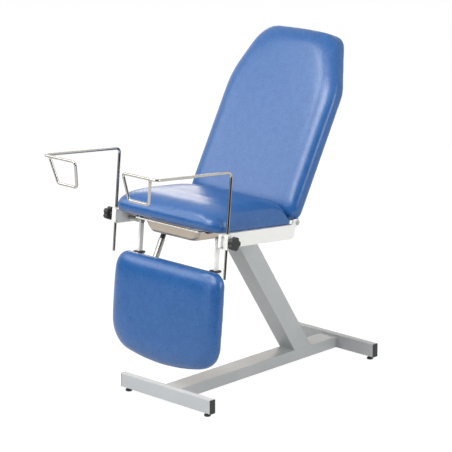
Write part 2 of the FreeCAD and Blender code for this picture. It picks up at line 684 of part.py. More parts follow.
# Leg strut: cylinder on the leg rest, rod up to a bracket on the right rail
leg_low = seat.multVec(V(0, *LEG_STRUT_LOW))
leg_high = seat.multVec(V(0, *LEG_STRUT_HIGH))
leg_place, leg_len = strut_frame(leg_low, leg_high)
put_strut("leg_strut", leg_place, leg_len, LEG_STRUT_D, LEG_STRUT_BORE, LEG_STRUT_TUBE,
          LEG_STRUT_PISTON, LEG_STRUT_GROOVE, LEG_STRUT_X)
lug_y, lug_z = LEG_STRUT_LOW
lug = cheeks((cross_y[1], lug_y + LUG_LIP), LEG_CROSS_H[0], LEG_STRUT_X)
lug = Part.makeCompound(lug).cut(pin_bore(lug_y, lug_z, LEG_STRUT_X))
put("leg_strut_lug", lug, seat)
high_y, high_z = LEG_STRUT_HIGH
web_y = (high_y + WEB_SET_BACK, high_y + WEB_SET_BACK + LUG_PLATE_T)
ear_z = (high_z - LUG_LIP, high_z + LUG_LIP)
ears = cheeks((high_y - SLOT_LEN - LUG_LIP, web_y[0]), ear_z, LEG_STRUT_X)
ears = [e.cut(slot(high_y, high_z, 180 - LEG_SLOT_RISE_DEG, LEG_STRUT_X)) for e in ears]
web_end = LEG_STRUT_X + CHEEK_GAP / 2 + CHEEK_T
foot_z = (RAIL_MARGIN - RAIL_H, -RAIL_MARGIN)
web_low = -RAIL_IN + WEB_ROOT_W[0]
web_high = -RAIL_IN + WEB_ROOT_W[1]
web_xz = [(-RAIL_IN, foot_z[1]), (web_low, foot_z[1]), (web_high, ear_z[1]), (web_end, ear_z[1]),
          (web_end, ear_z[0]), (web_low, ear_z[0]), (-RAIL_IN, foot_z[0])]
web = prism([V(x, web_y[0], z) for x, z in web_xz], V(0, LUG_PLATE_T, 0))
foot = box((-RAIL_IN, LUG_PLATE_T - RAIL_IN), (web_y[0] - WEB_FOOT_LEN, web_y[0]), foot_z)
put("leg_strut_bracket", fused([web, foot] + ears), seat)

# Gas spring of the backrest: cylinder on the column's right side, rod up to the backrest frame
spring_out = CHEEK_GAP / 2 + CHEEK_T
spring_x = -(COL_W / 2 + LUG_STAND + spring_out)
spring_low = base.multVec(V(0, BACK_SPRING_Y, SEAT_Z - BACK_SPRING_DROP))
spring_high = back.multVec(V(0, *BACK_SPRING_PIN))
spring_place, spring_len = strut_frame(spring_low, spring_high)
put_strut("back_spring", spring_place, spring_len, BACK_SPRING_D, BACK_SPRING_BORE, BACK_SPRING_TUBE,
          BACK_SPRING_PISTON, BACK_SPRING_GROOVE, spring_x)
low_pin = column_frame.inverse().multVec(spring_low)
lug_z = (low_pin.z - LUG_LIP, low_pin.z + LUG_LIP)
lug_front = low_pin.y - EYE_R - WEB_GAP
anchor = cheeks((lug_front, low_pin.y + LUG_LIP), lug_z, spring_x)
anchor_web = box((spring_x - spring_out, -COL_W / 2), (lug_front - LUG_PLATE_T, lug_front), lug_z)
anchor_foot = box((spring_x + spring_out, -COL_W / 2), (lug_front, low_pin.y + LUG_LIP), lug_z)
anchor = fused(anchor + [anchor_web, anchor_foot]).cut(pin_bore(low_pin.y, low_pin.z, spring_x))
put("column_lug", anchor, column_frame)
high_y, high_z = BACK_SPRING_PIN
slot_fall = SLOT_LEN * math.sin(math.radians(BACK_SLOT_FALL_DEG))
back_lug = cheeks((frame_y[1], high_y + LUG_LIP), (high_z - slot_fall - LUG_LIP, high_z + LUG_LIP), spring_x)
back_lug = [c.cut(slot(high_y, high_z, 180 + BACK_SLOT_FALL_DEG, spring_x)) for c in back_lug]
put("backrest_lug", Part.makeCompound(back_lug), back)

# Stirrups: clamp on the rail, turning sleeve, bent rod and star knob
post = V(POST_X, POST_ALONG, 0)
clamp = box(CLAMP_X, CLAMP_ALONG, (-RAIL_H, 0))
clamp = clamp.makeFillet(CLAMP_EDGE_R, [e for e in clamp.Edges if e.BoundBox.XMin > CLAMP_X[0] + GAP])
flange = box((CLAMP_X[0], CLAMP_X[0] + CLAMP_FLANGE_T), (RAIL_ALONG[0], CLAMP_ALONG[0]), (-RAIL_H, 0))
flange = rounded(flange, AXES[0], [(V(CLAMP_X[0], RAIL_ALONG[0], -RAIL_H), RAIL_FRONT_R)])
clamp = clamp.fuse(flange).removeSplitter()
clamp = clamp.cut(rod(SLEEVE_D + 2 * RUN, post + V(0, 0, -RAIL_H), post))
for h in SCREW_HEIGHTS:
    clamp = clamp.cut(rod(SCREW_D, V(RAIL_OUT, SCREW_ALONG, h), V(CLAMP_X[1], SCREW_ALONG, h)))
knob_at = V(KNOB_X, POST_ALONG, KNOB_HEIGHT)
stud_tip = V(POST_X + SLEEVE_D / 2 + GAP / 2, POST_ALONG, KNOB_HEIGHT)
clamp = clamp.cut(rod(KNOB_STUD_D + 2 * RUN, post + V(0, 0, KNOB_HEIGHT), knob_at))
put_pair("clamp_block", clamp, seat)
sleeve_low = post + V(0, 0, -RAIL_H - GAP)
sleeve_rim = post + V(0, 0, GAP / 2)
sleeve_top = sleeve_rim + V(0, 0, SLEEVE_FLANGE_T)
sleeve = fused([rod(SLEEVE_D, sleeve_low, sleeve_rim), rod(SLEEVE_FLANGE_D, sleeve_rim, sleeve_top)])
put_pair("clamp_sleeve", sleeve.cut(rod(ROD_D + 2 * RUN, sleeve_low, sleeve_top)), seat)
low_along = loop_along + LOOP_SET_BACK
low_h = POST_TOP - LOOP_DROP
stirrup_points = [V(0, POST_ALONG, POST_BOTTOM), V(0, POST_ALONG, POST_TOP),
                  V(0, loop_along, POST_TOP), V(-LOOP_TOP_IN, loop_along, POST_TOP),
                  V(-LOOP_LOW_IN[0], low_along, low_h), V(-LOOP_LOW_IN[1], low_along, low_h),
                  V(-LOOP_END_IN, loop_along, POST_TOP)]
stirrup_radii = [POST_BEND_R, POST_BEND_R, LOOP_BEND_R, LOOP_BEND_R, LOOP_BEND_R]
stirrup = fused(bent_rod(stirrup_points, stirrup_radii, ROD_D))
put_pair("stirrup", stirrup.translated(V(POST_X, 0, 0)), seat)
knob = rod(KNOB_D, knob_at, knob_at + V(KNOB_T, 0, 0))
for k in range(KNOB_LOBES):
    turn = 2 * math.pi * (k + 0.5) / KNOB_LOBES
    spot = knob_at + V(0, math.cos(turn), math.sin(turn)) * KNOB_SCALLOP_AT
    knob = knob.cut(rod(KNOB_SCALLOP_D, spot, spot + V(KNOB_T, 0, 0)))
knob = knob.makeFillet(KNOB_LOBE_R, edges_along(knob, AXES[0]))
knob = knob.makeFillet(KNOB_EDGE_R, [e for e in knob.Edges if e.BoundBox.XLength < 0.01])
stem = rod(KNOB_STEM_D, V(CLAMP_X[1] + GAP, POST_ALONG, KNOB_HEIGHT), knob_at)
put_pair("knob", fused([knob, stem, rod(KNOB_STUD_D, stud_tip, knob_at)]), seat)


# Basin and its wire carrier
def rounded_rectangle(half_x, mid_y, half_y, z, r):
    low = V(-half_x, mid_y - half_y, z)
    slab = Part.makePlane(2 * half_x, 2 * half_y, low).extrude(V(0, 0, 1))
    slab = slab.makeFillet(r, edges_along(slab, AXES[2]))
    return outline_of(slab, AXES[2], 1)


def tub(offset, top, floor):
    half_x = BASIN_W / 2 - BASIN_RIM_W - offset
    half_y = BASIN_L / 2 - BASIN_RIM_W - offset
    r = BASIN_CORNER_R - offset
    upper = rounded_rectangle(half_x, basin_mid, half_y, top, r)
    lower = rounded_rectangle(half_x - BASIN_DRAFT, basin_mid, half_y - BASIN_DRAFT, floor,
                              r - BASIN_CORNER_DRAFT)
    shell = Part.makeLoft([upper, lower], True, True)
    floor_edges = [e for e in shell.Edges if abs(e.BoundBox.ZMax - floor) < 0.01]
    return shell.makeFillet(BASIN_FLOOR_R - offset, floor_edges)


basin_mid = BASIN_FRONT + BASIN_L / 2
rim_low = BASIN_TOP - BASIN_RIM_T
basin_floor = BASIN_TOP - BASIN_DEPTH
rim = Part.Face(rounded_rectangle(BASIN_W / 2, basin_mid, BASIN_L / 2, rim_low, BASIN_RIM_R))
rim = rim.extrude(V(0, 0, BASIN_RIM_T))
basin = rim.fuse(tub(0, BASIN_TOP, basin_floor)).removeSplitter()
put("basin", basin.cut(tub(BASIN_SHEET, BASIN_TOP, basin_floor + BASIN_SHEET)), seat)
wire_h = rim_low - WIRE_D / 2
mid_front = V(0, BASIN_FRONT, wire_h)
loop = [mid_front, V(WIRE_X, BASIN_FRONT, wire_h), V(WIRE_X, WIRE_REAR, wire_h), V(0, WIRE_REAR, wire_h)]
half_ring = bent_rod(loop, [WIRE_BEND_R, WIRE_BEND_R], WIRE_D)
cross_wire = rod(WIRE_D, V(-WIRE_X, WIRE_CROSS, wire_h), V(WIRE_X, WIRE_CROSS, wire_h))
carrier = half_ring + [mirrored(piece) for piece in half_ring] + [cross_wire]
put("basin_carrier", fused(carrier), seat)
guides = []
for along in GUIDE_ALONG:
    block = box((WIRE_X - GUIDE_W / 2, WIRE_X + GUIDE_W / 2), along, (-GUIDE_H, 0))
    block = block.makeFillet(SOFT_R, edges_along(block, AXES[1])[:2] + edges_along(block, AXES[2]))
    channel = rod(WIRE_D + 2 * LOOSE, V(WIRE_X, along[0], wire_h), V(WIRE_X, along[1], wire_h))
    block = block.cut(channel)
    guides += [block, mirrored(block)]
put("basin_guides", Part.makeCompound(guides), seat)
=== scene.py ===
# %% [markdown]
# # A chair for gynecological examinations
# The solids of the chair already exist: sixty rigid and soft pieces, packed as one frame.
# This lesson dresses them. It sets up the camera and the light, writes each finish as a small
# network of nodes, and replaces the three plain pads by cushions that a cloth simulation fills.

# %% Load the solids
import math
from functools import partial
import bmesh
import bpy
import numpy as np
from mathutils import Matrix, Vector


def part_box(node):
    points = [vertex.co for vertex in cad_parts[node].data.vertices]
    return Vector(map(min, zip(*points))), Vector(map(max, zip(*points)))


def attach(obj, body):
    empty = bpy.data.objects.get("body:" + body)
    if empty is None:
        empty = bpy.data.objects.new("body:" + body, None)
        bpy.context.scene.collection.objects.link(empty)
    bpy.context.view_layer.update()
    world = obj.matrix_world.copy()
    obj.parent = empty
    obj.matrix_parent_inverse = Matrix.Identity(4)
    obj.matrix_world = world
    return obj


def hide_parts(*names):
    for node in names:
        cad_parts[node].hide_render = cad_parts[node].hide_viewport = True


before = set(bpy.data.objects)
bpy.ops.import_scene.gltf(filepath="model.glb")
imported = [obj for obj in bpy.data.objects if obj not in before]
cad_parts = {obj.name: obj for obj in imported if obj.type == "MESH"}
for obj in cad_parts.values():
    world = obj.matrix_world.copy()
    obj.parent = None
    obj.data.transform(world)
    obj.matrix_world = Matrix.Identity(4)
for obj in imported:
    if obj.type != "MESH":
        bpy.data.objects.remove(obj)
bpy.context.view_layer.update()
scene = bpy.context.scene

# %% [markdown]
# ## The camera
# A catalogue photo is taken from far away with a long lens, so that parallel tubes stay nearly
# parallel. The place and the angles were found by matching the corners of the base and the rails.
# No lens blur is used, because the photo is sharp from front to back.

# %% Camera
LOOKS_DOWN = 14.772
TURNED = 43.502
camera = bpy.data.objects.new("photo_camera", bpy.data.cameras.new("photo_camera"))
scene.collection.objects.link(camera)
camera.data.lens = 179.2
camera.data.sensor_width = 36.0
camera.data.clip_end = 60.0
camera.location = (6.2564, -6.5740, 3.08835)
camera.rotation_euler = (math.radians(90 - LOOKS_DOWN), 0, math.radians(TURNED))
scene.camera = camera
scene.view_settings.view_transform = "Standard"
print("camera stands", round(camera.location.length, 2), "m away")

# %% [markdown]
# ## Writing shaders as sums
# A finish is mostly arithmetic: a bit of noise, times a strength, plus a base value. Linking Math
# nodes by hand hides that. The class below wraps one output socket, so that `0.4 + 0.1 * cloud`
# adds the two nodes it needs. Every other kind of node comes from its `node` method, which sets
# the node's options first and then the values or links of its sockets.


# %% A socket that can be added and multiplied
class Wire:
    """One output of a node tree. Sums and products of wires add Math nodes."""

    def __init__(self, tree, socket=None):
        self.tree = tree
        self.socket = socket

    def node(self, kind, settings=None, sockets=None, out=0):
        made = self.tree.nodes.new("ShaderNode" + kind)
        for option, value in (settings or {}).items():
            setattr(made, option, value)
        for key, value in (sockets or {}).items():
            if isinstance(value, Wire):
                self.tree.links.new(value.socket, made.inputs[key])
            else:
                made.inputs[key].default_value = value
        return Wire(self.tree, made.outputs[out] if made.outputs else None)

    def maths(self, operation, *values):
        return self.node("Math", {"operation": operation}, dict(enumerate(values)))

    def __add__(self, other):
        return self.maths("ADD", self, other)

    def __sub__(self, other):
        return self.maths("SUBTRACT", self, other)

    def __rsub__(self, other):
        return self.maths("SUBTRACT", other, self)

    def __mul__(self, other):
        return self.maths("MULTIPLY", self, other)

    def __truediv__(self, other):
        return self.maths("DIVIDE", self, other)

    def __rtruediv__(self, other):
        return self.maths("DIVIDE", other, self)

    __radd__ = __add__
    __rmul__ = __mul__

    def clipped(self):
        return self.maths("MINIMUM", self.maths("MAXIMUM", self, 0.0), 1.0)

    def between(self, low, high):
        """Colour that goes from low to high as this value goes from 0 to 1."""
        return self.node("Mix", {"data_type": "RGBA"}, {0: self, 6: (*low, 1), 7: (*high, 1)}, 2)


trial = bpy.data.node_groups.new("trial", "ShaderNodeTree")
trial_sum = 0.4 + 0.1 * Wire(trial).node("Value")
print("0.4 + 0.1 * value makes", len(trial_sum.tree.nodes) - 1, "Math nodes")
bpy.data.node_groups.remove(trial)

# %% [markdown]
# ## Floor, backdrop and light
# The chair stands on a white paper sweep. The sky is plain white for the camera and for mirrors,
# and weaker as a lamp, so that painted white stays below the limit of the picture. Three soft lamps
# from the front left to the front give the backrest its sheen and draw the bright lines along the
# cushions' edges. Two from above light the tops, one at the right fills the shaded sides, and a warm
# one from behind lies as a pale streak on the seat. Chrome shows what surrounds it, so in a white
# room it would vanish. Four curved dark cards that only mirrors see put the dark lines into the rods.

# %% Backdrop
SKY_LAMP = 0.27
world = bpy.data.worlds.new("white_room")
scene.world = world
world.use_nodes = True
world.node_tree.nodes.clear()
sky = Wire(world.node_tree)


def seen_directly(start):
    """1 for the camera and for mirrors and glass, 0 for the light that falls on a surface."""
    rays = [start.node("LightPath", {}, {}, kind) for kind in
            ("Is Camera Ray", "Is Glossy Ray", "Is Transmission Ray")]
    return start.maths("MAXIMUM", start.maths("MAXIMUM", rays[0], rays[1]), rays[2])


sky_strength = SKY_LAMP + (1 - SKY_LAMP) * seen_directly(sky)
sky_light = sky.node("Background", {}, {"Color": (1, 1, 1, 1), "Strength": sky_strength})
sky.node("OutputWorld", {}, {"Surface": sky_light})
print("backdrop is white, and lights the chair at", SKY_LAMP)

# %% Floor
FLOOR_HALF = 40.0
FLOOR_SHARE = 0.22
FLOOR_GREY = 0.70
FLOOR_GLOW = 1.22
FLOOR_DROP = 0.0003
paper = bpy.data.materials.new("paper_sweep")
paper.use_nodes = True
paper.node_tree.nodes.clear()
paper_start = Wire(paper.node_tree)
paper_diffuse = paper_start.node("BsdfDiffuse", {}, {"Color": (FLOOR_GREY, FLOOR_GREY, FLOOR_GREY, 1)})
paper_white = paper_start.node("Emission", {}, {"Color": (1, 1, 1, 1), "Strength": FLOOR_GLOW})
paper_mix = paper_start.node("MixShader", {}, {
    0: (1 - FLOOR_SHARE) * seen_directly(paper_start), 1: paper_diffuse, 2: paper_white})
paper_start.node("OutputMaterial", {}, {"Surface": paper_mix})
floor_mesh = bpy.data.meshes.new("floor")
floor_mesh.from_pydata([(-FLOOR_HALF, -FLOOR_HALF, 0), (FLOOR_HALF, -FLOOR_HALF, 0),
                        (FLOOR_HALF, FLOOR_HALF, 0), (-FLOOR_HALF, FLOOR_HALF, 0)], [], [(0, 1, 2, 3)])
floor_mesh.materials.append(paper)
floor = bpy.data.objects.new("floor", floor_mesh)
scene.collection.objects.link(floor)
floor.location.z = -FLOOR_DROP
print("floor keeps", FLOOR_SHARE, "of the shadow")


# %% Lamps
AIM = Vector((0.0, 0.0, 0.75))
WHITE = (1.0, 1.0, 1.0)
WARM = (1.0, 0.88, 0.76)
# place, width and height in metres, watts, colour
LAMPS = {
    "front_left_lamp": ((-3.0, -2.4, 2.6), (2.8, 1.6), 40, WHITE),
    "front_middle_lamp": ((-0.7, -3.5, 2.9), (2.2, 0.9), 26, WHITE),
    "front_lamp": ((0.8, -3.3, 3.1), (0.8, 0.9), 38, WHITE),
    "overhead_lamp": ((0.25, -2.0, 3.4), (1.2, 0.5), 40, WHITE),
    "top_left_lamp": ((-1.35, -1.6, 3.35), (0.9, 0.8), 24, WHITE),
    "right_lamp": ((3.6, 0.6, 1.7), (1.6, 2.4), 60, WHITE),
    "back_left_lamp": ((-2.9, 3.3, 1.9), (2.4, 0.8), 23, WARM),
}
for name, (place, size, watts, colour) in LAMPS.items():
    lamp = bpy.data.objects.new(name, bpy.data.lights.new(name, "AREA"))
    lamp.data.color = colour
    lamp.data.shape = "RECTANGLE"
    lamp.data.size, lamp.data.size_y = size
    lamp.data.energy = watts
    scene.collection.objects.link(lamp)
    lamp.location = place
    lamp.rotation_euler = (AIM - Vector(place)).to_track_quat("-Z", "Y").to_euler()
print("lamps", len(LAMPS), "with", sum(row[2] for row in LAMPS.values()), "W in all")

# %% Dark cards
card_finish = bpy.data.materials.new("dark_card")
card_finish.use_nodes = True
card_shader = card_finish.node_tree.nodes["Principled BSDF"]
card_shader.inputs["Base Color"].default_value = (0.03, 0.03, 0.03, 1)
card_shader.inputs["Roughness"].default_value = 1.0
CARD_BENDS = 8
# first and last angle in degrees, lower and upper edge, distance from the chair
CARDS = {
    "camera_side_card": (10.0, -86.0, 0.0, 4.2, 5.0),
    "left_card": (186.0, 246.0, 0.0, 1.9, 5.0),
    "near_card": (26.0, -54.0, 0.0, 1.05, 2.3),
    "back_card": (100.0, 172.0, 0.0, 0.85, 2.6),
}
for card_name, (first, last, low, high, reach) in CARDS.items():
    spots = []
    for angle in np.radians(np.linspace(first, last, CARD_BENDS + 1)):
        spots += [(reach * math.cos(angle), reach * math.sin(angle), h) for h in (low, high)]
    card_mesh = bpy.data.meshes.new(card_name)
    card_mesh.from_pydata(spots, [], [(k, k + 2, k + 3, k + 1) for k in range(0, 2 * CARD_BENDS, 2)])
    card_mesh.materials.append(card_finish)
    card = bpy.data.objects.new(card_name, card_mesh)
    scene.collection.objects.link(card)
    card.visible_camera = card.visible_diffuse = card.visible_shadow = False
print("cards", list(CARDS))


# %% [markdown]
# ## Blue vinyl
# The pads are covered in upholstery vinyl: a knitted cloth with a soft plastic skin, embossed with
# a fine leather grain. Seen close, the blue is cloudy, and the embossing breaks the sheen into a broad
# soft highlight. An image of leather would repeat and would need unwrapped pads. Cells and clouds
# of noise in the pad's own space need no unwrapping and stay on the pad when it moves.

# %% Start and close a finish
FINISHES = {}


def start_finish(name):
    material = bpy.data.materials.new(name)
    material.use_nodes = True
    material.node_tree.nodes.clear()
    FINISHES[name] = material
    return Wire(material.node_tree)


def close_finish(start, **sockets):
    named = {key.replace("_", " "): value for key, value in sockets.items()}
    shader = start.node("BsdfPrincipled", {}, named)
    start.node("OutputMaterial", {}, {"Surface": shader})
    print("finish of", len(start.tree.nodes), "nodes")


def noise(start, place, scale, detail=3.0, rough=0.5):
    return start.node("TexNoise", {}, {
        "Vector": place, "Scale": scale, "Detail": detail, "Roughness": rough})


def own_place(start):
    return start.node("TexCoord", {}, {}, "Object")


def bumped(start, height, strength, distance):
    return start.node("Bump", {}, {"Strength": strength, "Distance": distance, "Height": height})


print("finishes so far", len(FINISHES))

# %% Vinyl
vinyl = start_finish("blue_vinyl")
place = own_place(vinyl)
cloud = noise(vinyl, place, 34.0, 4.0)
marble = noise(vinyl, place, 170.0, 4.0, 0.55)
mottle = (0.5 + 0.9 * (cloud - 0.5) + 1.1 * (marble - 0.5)).clipped()
grain = vinyl.node("TexVoronoi", {"feature": "SMOOTH_F1"}, {
    "Vector": place, "Scale": 620.0, "Smoothness": 0.4})
creases = noise(vinyl, place, 340.0, 2.0)
close_finish(
    vinyl,
    Base_Color=mottle.between((0.008, 0.072, 0.254), (0.026, 0.131, 0.370)),
    Roughness=0.27 + 0.14 * (marble - 0.5) + 0.06 * grain,
    Normal=bumped(vinyl, grain + 0.6 * creases, 0.25, 0.0004),
    IOR=1.5,
    Specular_IOR_Level=0.52,
    Coat_Weight=0.06 + 0.08 * cloud,
    Coat_Roughness=0.28,
)
print("covers", list(FINISHES))

# %% [markdown]
# ## Sprayed paint
# The rails are powder coated in warm white and the base in silver grey. Powder melts into a skin
# with a faint orange peel, and the silver holds tiny flakes. The peel is a slow noise in the bump.
# The flakes are a very fine noise that turns a share of the surface metallic.

# %% White and silver paint
white = start_finish("white_paint")
place = own_place(white)
peel = noise(white, place, 420.0, 2.0)
dust = noise(white, place, 14.0, 3.0)
close_finish(
    white,
    Base_Color=dust.between((0.875, 0.875, 0.845), (0.915, 0.915, 0.885)),
    Roughness=0.30 + 0.12 * dust,
    Normal=bumped(white, peel, 0.10, 0.0003),
    Coat_Weight=0.20 + 0.10 * dust,
    Coat_Roughness=0.15,
)
silver = start_finish("grey_paint")
place = own_place(silver)
peel = noise(silver, place, 380.0, 2.0)
flake = noise(silver, place, 2600.0, 1.0)
dust = noise(silver, place, 11.0, 3.0)
close_finish(
    silver,
    Base_Color=(0.6 * dust + 0.4 * flake).between((0.450, 0.470, 0.480), (0.570, 0.590, 0.600)),
    Metallic=0.05 + 0.14 * flake,
    Roughness=0.36 + 0.14 * dust,
    Specular_IOR_Level=0.3,
    Normal=bumped(silver, peel + 0.3 * flake, 0.08, 0.0003),
    Coat_Weight=0.05 + 0.06 * dust,
    Coat_Roughness=0.12,
)
print("with the paints", list(FINISHES))

# %% [markdown]
# ## Bright metals
# The stirrups are chromed rod, the basin is pressed stainless sheet, its carrier is bright drawn wire
# and the struts are plated steel. All are mirrors of different sharpness. Chrome is nearly perfect,
# with faint smears. The basin is brushed, so its noise is stretched along one direction. The wire is
# paler than the basin, which parts the two by eye. Plated steel is duller and a bit uneven.

# %% Chrome
chrome = start_finish("chrome")
place = own_place(chrome)
smear = noise(chrome, place, 60.0, 4.0)
polish = noise(chrome, place, 900.0, 2.0)
close_finish(
    chrome,
    # Both colours are set dimmer and warmer than bare chrome: a painted reflection of a dim, warm room.
    # The smear noise between them is the chrome's own uneven tone.
    Base_Color=smear.between((0.41, 0.396, 0.368), (0.54, 0.522, 0.488)),
    Metallic=1.0,
    Roughness=0.05 + 0.08 * smear,
    Normal=bumped(chrome, polish, 0.02, 0.0002),
)
print("chrome ready")

# %% Stainless sheet and drawn wire
stainless = start_finish("stainless")
place = own_place(stainless)
stretched = stainless.node("Mapping", {}, {"Vector": place, "Scale": (6.0, 420.0, 420.0)})
brush = noise(stainless, stretched, 3.0, 4.0)
haze = noise(stainless, place, 20.0, 3.0)
close_finish(
    stainless,
    # The brown tint of both colours is a painted reflection of warm surroundings, because bare stainless
    # is grey. The brush and haze noise between them is the sheet's own uneven tone.
    Base_Color=(0.5 * brush + 0.5 * haze).between((0.41, 0.355, 0.29), (0.53, 0.465, 0.39)),
    Metallic=1.0,
    Roughness=0.24 + 0.12 * brush + 0.06 * haze,
    Normal=bumped(stainless, brush, 0.12, 0.0002),
)
drawn = start_finish("drawn_wire")
place = own_place(drawn)
die_marks = noise(drawn, place, 240.0, 3.0)
close_finish(
    drawn,
    Base_Color=die_marks.between((0.60, 0.58, 0.53), (0.73, 0.71, 0.655)),
    Metallic=1.0,
    Roughness=0.10 + 0.12 * die_marks,
    Normal=bumped(drawn, die_marks, 0.03, 0.0002),
)
print("basin and wire ready")

# %% Plated steel
plated = start_finish("strut_steel")
place = own_place(plated)
bloom = noise(plated, place, 75.0, 4.0)
round_it = plated.node("Mapping", {}, {"Vector": place, "Scale": (30.0, 900.0, 900.0)})
turned_marks = noise(plated, round_it, 2.0)
close_finish(
    plated,
    Base_Color=bloom.between((0.36, 0.36, 0.345), (0.48, 0.48, 0.46)),
    Metallic=0.85,
    Roughness=0.26 + 0.16 * bloom,
    Normal=bumped(plated, turned_marks, 0.06, 0.0002),
)
print("with the metals", len(FINISHES), "finishes")

# %% [markdown]
# ## Plastics and plywood
# Caps, knobs, guide blocks and feet are black nylon with a fine spark-eroded texture, and the clamp
# sleeves are natural nylon. The pads' boards are birch plywood. They are seen only from behind: long
# grain on the face and dark glue lines on the edge. Each board lies in another plane, so its finish
# gets the board's tilt, which lays the plies flat in it.

# %% Black plastic and nylon
black = start_finish("black_plastic")
place = own_place(black)
spark = noise(black, place, 1500.0, 2.0)
handled = noise(black, place, 45.0, 3.0)
close_finish(
    black,
    Base_Color=handled.between((0.018, 0.019, 0.020), (0.034, 0.035, 0.036)),
    Roughness=0.34 + 0.18 * handled,
    Specular_IOR_Level=0.35,
    Normal=bumped(black, spark, 0.18, 0.0002),
)
nylon = start_finish("nylon")
place = own_place(nylon)
milky = noise(nylon, place, 120.0, 3.0)
close_finish(
    nylon,
    Base_Color=milky.between((0.60, 0.585, 0.52), (0.70, 0.685, 0.62)),
    Roughness=0.40 + 0.15 * milky,
    Normal=bumped(nylon, milky, 0.08, 0.0002),
)
print("plastics ready")

# %% Plywood, once for each board
SEAT_TILT = 5.5
BACK_LEAN = 28.7
PLY = 0.0015
GLUE_SHARE = 0.16


def plywood(name, lean, plies_up):
    """Plies stacked along Z of the leaning frame for the seat, and along its Y for the other boards."""
    start = start_finish(name)
    laid = start.node("Mapping", {}, {
        "Vector": own_place(start), "Rotation": (math.radians(lean), 0, 0)})
    axes = [start.node("SeparateXYZ", {}, {"Vector": laid}, axis) for axis in ("X", "Y", "Z")]
    across = axes[2] if plies_up else axes[1]
    sheet = start.maths("FRACT", across / PLY)
    glue = start.maths("LESS_THAN", sheet, GLUE_SHARE)
    long_grain = start.node("Mapping", {}, {"Vector": laid, "Scale": (9.0, 160.0, 160.0)})
    figure = noise(start, long_grain, 2.2, 5.0, 0.6)
    tone = (0.25 + 0.75 * figure - 0.30 * glue).clipped()
    close_finish(
        start,
        Base_Color=tone.between((0.20, 0.115, 0.055), (0.66, 0.47, 0.29)),
        Roughness=0.55 + 0.20 * figure,
        Normal=bumped(start, figure - 0.4 * glue, 0.20, 0.0004),
    )


plywood("seat_plywood", SEAT_TILT, True)
plywood("backrest_plywood", BACK_LEAN, False)
plywood("legrest_plywood", SEAT_TILT, False)
print("boards", [name for name in FINISHES if "plywood" in name])

# %% [markdown]
# ## Giving the solids their finish
# Each solid came with a named slot. The finish of that name goes in, so that a shop which wants
# another colour changes one material. The boards take the plywood that lies in their own plane, and
# the basin's carrier takes the drawn wire.

# %% Fill the slots
counts = {}
for node_name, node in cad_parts.items():
    for slot in node.material_slots:
        finish = slot.material.name.split(".")[0]
        if finish == "plywood":
            finish = node_name.replace("_board", "") + "_plywood"
        elif node_name == "basin_carrier":
            finish = "drawn_wire"
        slot.material = FINISHES[finish]
        counts[finish] = counts.get(finish, 0) + 1
print(counts)

# %% [markdown]
# ## Cushions
# A pad is a sheet of foam glued to a board, with vinyl pulled over it and stapled behind. The cover
# is tight, so it has no folds on its face: it crowns softly and rolls over the edges. The solid is
# copied and given an even skin of small quads. Smoothing such a skin shrinks it, so it is plumped out
# again, and its crown is ironed with many more smoothing steps. Then it is blown up as cloth, held
# only at the board: the air pressure rounds it as the foam does. The swelling is kept along the skin's
# own normals and below a limit, which keeps the outline of the photo, and the back is pressed flat.

# %% Frames of the seat and the backrest
SEAT_AT = (0.0, -0.0930, 0.7551)
HINGE_AT = (0.0, 0.218, 0.007)


def leaning(place, degrees):
    return Matrix.Translation(place) @ Matrix.Rotation(-math.radians(degrees), 4, "X")


SEAT = leaning(SEAT_AT, SEAT_TILT)
BACK = leaning(SEAT @ Vector(HINGE_AT), BACK_LEAN)
print("hinge axis at", [round(c, 4) for c in BACK.translation])


# %% Meshes as arrays of points
def settled(obj):
    """Turns what the modifiers show into the object's own mesh."""
    shown = obj.evaluated_get(bpy.context.evaluated_depsgraph_get())
    mesh = bpy.data.meshes.new_from_object(shown)
    obj.modifiers.clear()
    obj.data = mesh


def depth_from(frame_matrix, axis, sign, zero, points):
    """How far each point stands in front of its board's back."""
    direction = np.array(frame_matrix.to_3x3().col[axis]) * sign
    return (points - np.array(frame_matrix.translation)) @ direction - zero


def points_of(mesh, kind="co"):
    flat = np.empty(len(mesh.vertices) * 3)
    mesh.vertices.foreach_get(kind, flat)
    return flat.reshape(-1, 3)


def grouped(pad, name, share):
    """Vertex group that holds each point by its share."""
    group = pad.vertex_groups.new(name=name)
    for k in np.nonzero(share > 0.001)[0]:
        group.add([int(k)], float(share[k]), "REPLACE")


print("the seat's solid has", len(points_of(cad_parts["seat_pad"].data)), "points")

# %% An even skin of quads
VOXEL = 0.006
PLUMP = 0.0022
CROWN = (0.010, 0.030)
EASE_STEPS = 9
IRON_STEPS = 120
WELD_DISTANCE = 1e-5


def even_skin(name, node_name, depth_of):
    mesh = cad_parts[node_name].data.copy()
    sheet = bmesh.new()
    sheet.from_mesh(mesh)
    bmesh.ops.remove_doubles(sheet, verts=sheet.verts, dist=WELD_DISTANCE)
    sheet.to_mesh(mesh)
    sheet.free()
    pad = bpy.data.objects.new(name, mesh)
    scene.collection.objects.link(pad)
    remesh = pad.modifiers.new("quads", "REMESH")
    remesh.mode = "VOXEL"
    remesh.voxel_size = VOXEL
    smooth = pad.modifiers.new("ease", "SMOOTH")
    smooth.factor = 0.5
    smooth.iterations = EASE_STEPS
    plump = pad.modifiers.new("plump", "DISPLACE")
    plump.strength = PLUMP
    plump.mid_level = 0.0
    settled(pad)
    depth = depth_of(points_of(pad.data))
    below_top = depth.max() - depth
    grouped(pad, "crown", np.clip((CROWN[1] - below_top) / (CROWN[1] - CROWN[0]), 0, 1))
    iron = pad.modifiers.new("iron", "SMOOTH")
    iron.factor = 0.5
    iron.iterations = IRON_STEPS
    iron.vertex_group = "crown"
    settled(pad)
    pad.vertex_groups.clear()
    pad.data.materials.clear()
    pad.data.materials.append(FINISHES["blue_vinyl"])
    return pad


print("skin of", VOXEL * 1000, "mm quads, plumped by", PLUMP * 1000, "mm")

